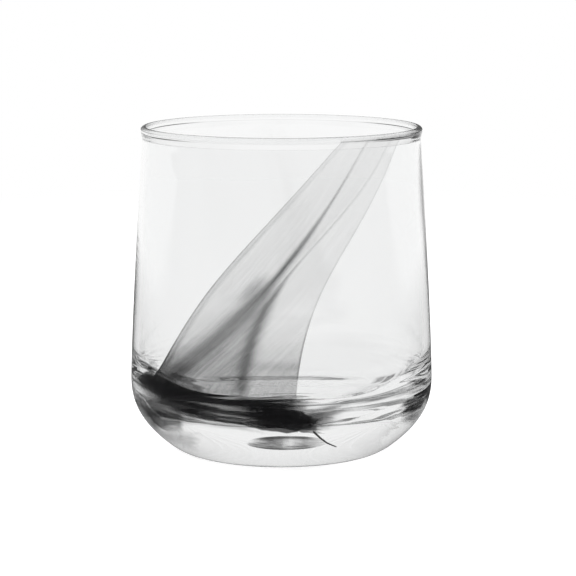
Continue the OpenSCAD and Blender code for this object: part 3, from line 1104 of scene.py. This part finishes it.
# %% Corner pieces
pool_angles, pool_turns = (left_to, 8), (pool_turn, 90)
tail_angles, tail_turns = (8, 32), (30, 88)
left_angles, left_turns = (left_from, left_to), (36, 121)
right_angles, right_turns = (58, 98), (26, 80)
pool_t, tail_t, wisp_t = 0.9 * mm, 0.6 * mm, 0.3 * mm
pool_mesh, tail_mesh, left_mesh, right_mesh = (90, 130), (60, 40), (80, 30), (50, 50)

corner_piece(
    "dark_pool", pool_angles, pool_turns, pool_t, "dark_smoke", pool_dark, pool_mesh, top=shoulder_top,
)
corner_piece("pool_tail", tail_angles, tail_turns, tail_t, "dark_smoke", pool_dark, tail_mesh)
corner_piece(
    "left_wisp", left_angles, left_turns, wisp_t, "mid_smoke", left_wisp_dark, left_mesh, flare=left_flare,
)
corner_piece("right_wisp", right_angles, right_turns, wisp_t, "dark_smoke", right_wisp_dark, right_mesh)
print(f"pool {pool_t / mm:.1f} mm, tail {tail_t / mm:.1f} mm and wisps {wisp_t / mm:.1f} mm thick")

# %% [markdown]
# ## The curl in the base
# A last curl of smoke stands in the clear base, a little behind the front. The heel bends the
# view upwards and widens it, so from the front it looks like an eye. A picture of an eye on the
# foot would look wrong from every other side, so it is a low upright sheet with an oval outline,
# darker lines along it and a clearer place near its middle.

# %% Base curl
curl_l = 18.8 * mm
curl_h = 2.4 * mm
curl_right = 1.2 * mm
curl_front = 20.15 * mm
curl_drop = 2.5 * mm
curl_t = 0.3 * mm
# Tones over the length of the curl, from left to right
curl_body = [
    (0, 0.45), (0.15, 0.68), (0.3, 0.74), (0.42, 0.7), (0.48, 0.42), (0.55, 0.24), (0.61, 0.45), (0.7, 0.6),
    (0.8, 0.46), (0.9, 0.3), (1, 0.1),
]
# Lines along the curl: tone, how far down, half width, from, to and how softly they end
curl_lines = [
    (0.8, 0.1, 0.1, 0.16, 0.78, 0.1),
    (0.7, 0.73, 0.06, 0.5, 0.76, 0.06),
    (0.75, 0.92, 0.07, 0.24, 0.8, 0.08),
]
streak_depth, streaks_along, streaks_down, streak_lean, streak_seed = 0.35, 7, 8, 5, 3.0
clear_corner_l, clear_corner_h = 0.3, (0.3, 0.65)
curl_tip = 0.06
darkest_curl = 0.9


def curl_place(u, v):
    x = curl_right + curl_l * (u - 0.5)
    half = curl_h / 2 * math.sqrt(max(0.0, 1 - (2 * u - 1) ** 2))
    z = base_t - curl_drop + half * (1 - 2 * v)
    return math.atan2(x, curl_front), math.hypot(x, curl_front), z, 1.0, 0.0, half * v, x


def curl_dark(u, v):
    grain = noise.noise(Vector((streaks_along * u, streaks_down * v - streak_lean * u, streak_seed)))
    corner = (1 - smooth(0, clear_corner_l, u)) * (1 - smooth(*clear_corner_h, v))
    lines = [
        tone * soft_line(v - middle, width) * soft_box(start, end, edge, u)
        for tone, middle, width, start, end, edge in curl_lines
    ]
    body = through(u, curl_body) * (1 + streak_depth * grain) * (1 - corner)
    tips = smooth(0, curl_tip, u) * (1 - smooth(1 - curl_tip, 1, u))
    return min(darkest_curl, stacked(body, *lines)) * tips


curl_rows, curl_columns = 40, 80
curl = seam_sheet("base_curl_glass", curl_rows, curl_columns, curl_place, curl_dark, curl_t)
dress(curl, "base_curl", "mid_smoke")
print(f"curl {curl_l / mm:.1f} mm long, {(base_t - curl_drop) / mm:.1f} mm above the table")

# %% [markdown]
# ## The drip from the tail
# Where the tail ends, a thread of black glass sinks into the thick base before it is frozen. It
# could be a curve with a bevel, but a small closed tube that thins out towards its end exports as
# it is.

# %% Tail drip
drip_w = 0.5 * mm
drip_sides = 10
drip_steps = 4
drip_thinning = 0.5
drip_tone = 0.95
# Places in millimetres: to the right, back and up
drip_points = [
    (7.4, -27.5, 12.6), (9.3, -28.0, 11.05), (11.2, -27.9, 9.6), (12.5, -26.2, 9.0), (13.5, -24.5, 8.6),
]


def tube(name, points, width, sides):
    """A closed round thread through the given points, thinner towards its far end."""
    spine = [Vector(p) for p in points]
    vertices, faces = [tuple(spine[0])], []
    for k in range(1, len(spine) - 1):
        ahead = (spine[k + 1] - spine[k - 1]).normalized()
        side = ahead.cross(Vector((0, 0, 1))).normalized()
        up = side.cross(ahead)
        reach = width / 2 * (1 - drip_thinning * k / len(spine))
        for s in range(sides):
            turn = 2 * math.pi * s / sides
            vertices.append(tuple(spine[k] + reach * (math.cos(turn) * side + math.sin(turn) * up)))
    vertices.append(tuple(spine[-1]))
    last = len(vertices) - 1
    rings = [range(1 + k * sides, 1 + (k + 1) * sides) for k in range(len(spine) - 2)]
    for s in range(sides):
        faces.append([0, rings[0][(s + 1) % sides], rings[0][s]])
        faces.append([last, rings[-1][s], rings[-1][(s + 1) % sides]])
    for low, high in zip(rings, rings[1:]):
        for s in range(sides):
            faces.append([low[s], low[(s + 1) % sides], high[(s + 1) % sides], high[s]])
    return new_piece(name, vertices, faces)


fine_points = []
for p, q in zip(drip_points, drip_points[1:]):
    for t in steps(0, 1, drip_steps)[:-1]:
        fine_points.append([(p[i] + (q[i] - p[i]) * t) * mm for i in range(3)])
fine_points.append([c * mm for c in drip_points[-1]])
drip = tube("tail_drip_glass", fine_points, drip_w, drip_sides)
paint_tone(drip, [drip_tone] * len(drip.data.vertices))
dress(drip, "tail_drip", "dark_smoke")
print(f"drip sinks {drip_points[0][2] - drip_points[-1][2]:.1f} mm")

# %% [markdown]
# ## Smoke in the lip
# The ribbon runs a little way up into the round bead, and from there round to its right end. A
# dark tint on the bead would stay on its surface, but the real smoke lies inside and the bead's
# own curve draws it as darker lines, so it is a low sheet inside the bead.

# %% Lip smoke
lip_smoke_h = 0.6 * mm
lip_smoke_t = 0.2 * mm
lip_smoke_out = 0.1 * mm
lip_from, lip_to = math.degrees(math.asin(edge_x("left", lip_z) / seam_r(lip_z))), 90
# Pairs of a compass angle and a tone
lip_tone = [(20, 0.2), (24, 0.35), (34, 0.45), (39, 0.6), (43, 0.93), (75, 0.97), (84, 0.9), (90, 0.9)]
lip_end_fade = (84, 90)
lip_thin, lip_thin_from, lip_thin_full = 0.8, 0.35, 0.75


def lip_place(u, v):
    angle = math.radians(lip_from + (lip_to - lip_from) * u)
    r = seam_r(lip_z) + lip_smoke_out
    return angle, r, lip_z + lip_smoke_h * v, 1.0, 0.0, r * math.sin(angle), 0.0


def lip_dark(u, v):
    angle = lip_from + (lip_to - lip_from) * u
    upwards = 1 - lip_thin * smooth(lip_thin_from, lip_thin_full, v)
    return through(angle, lip_tone) * upwards * (1 - smooth(*lip_end_fade, angle))


lip_rows, lip_columns = 10, 90
lip_piece = seam_sheet("lip_smoke_glass", lip_rows, lip_columns, lip_place, lip_dark, lip_smoke_t)
dress(lip_piece, "lip_smoke", "mid_smoke")
print(f"lip smoke from {lip_from:.0f} to {lip_to} degrees")

# %% [markdown]
# ## Render settings that glass needs
# Colours are shown as they are written. Light crosses many faces in a thick base, and a ray that
# runs out of bounces turns black there, so more bounces are allowed than usual. The last line
# prints the box of the imported model.

# %% View settings and the box
scene = bpy.context.scene
scene.view_settings.view_transform = "Standard"
scene.cycles.transmission_bounces = 200
scene.cycles.transparent_max_bounces = 64
scene.cycles.glossy_bounces = 200
scene.cycles.max_bounces = 256

print("CAD box", [tuple(round(x / mm, 2) for x in c) for c in cad_box])
